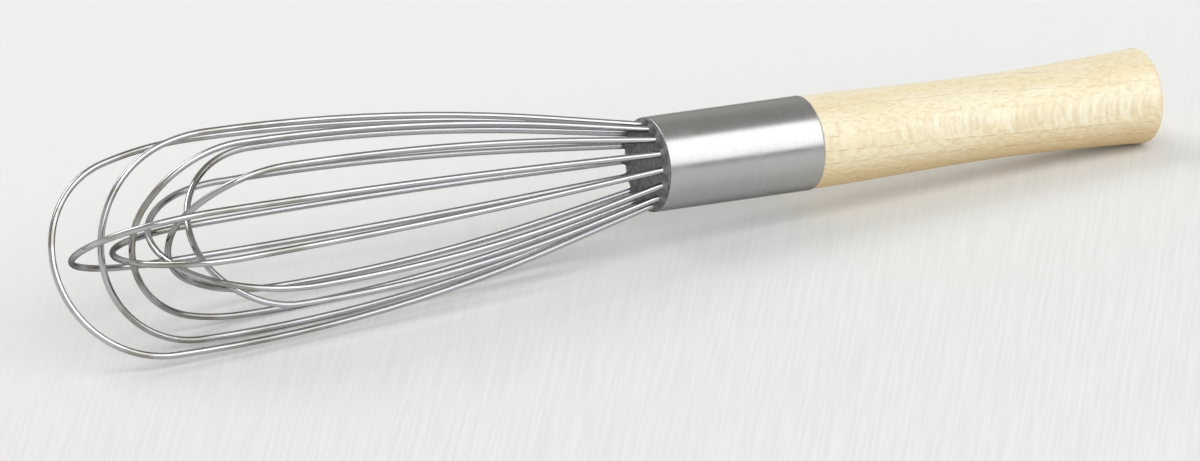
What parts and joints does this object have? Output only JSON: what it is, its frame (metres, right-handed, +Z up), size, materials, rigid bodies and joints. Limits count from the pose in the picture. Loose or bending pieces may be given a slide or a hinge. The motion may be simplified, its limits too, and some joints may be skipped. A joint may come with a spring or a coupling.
{
  "type": "balloon whisk",
  "caption": "Balloon wire whisk with a turned wooden handle, a steel ferrule and sprung wire loops sealed into its mouth.",
  "frame": {"origin": "on the table, below the middle of the whisk's length and width, with the whisk lying at rest", "axes": "+Z up; +X along the whisk towards the butt of the handle, with the tip of the wires at -X; +Y to the whisk's far side in the picture"},
  "size_m": [0.2957, 0.0526, 0.0504],
  "materials": {
    "wood": "sanded, unvarnished",
    "ferrule_steel": "satin stainless",
    "seal_epoxy": "cast, matte",
    "wire_steel": "bright drawn"
  },
  "bodies": {
    "root": {"handle": "wood", "ferrule": "ferrule_steel", "epoxy_seal": "seal_epoxy", "wire_loop_1": "wire_steel", "wire_loop_2": "wire_steel", "wire_loop_3": "wire_steel", "wire_loop_4": "wire_steel", "wire_loop_5": "wire_steel", "wire_loop_6": "wire_steel", "wire_loop_7": "wire_steel", "wire_loop_8": "wire_steel"}
  },
  "joints": []
}
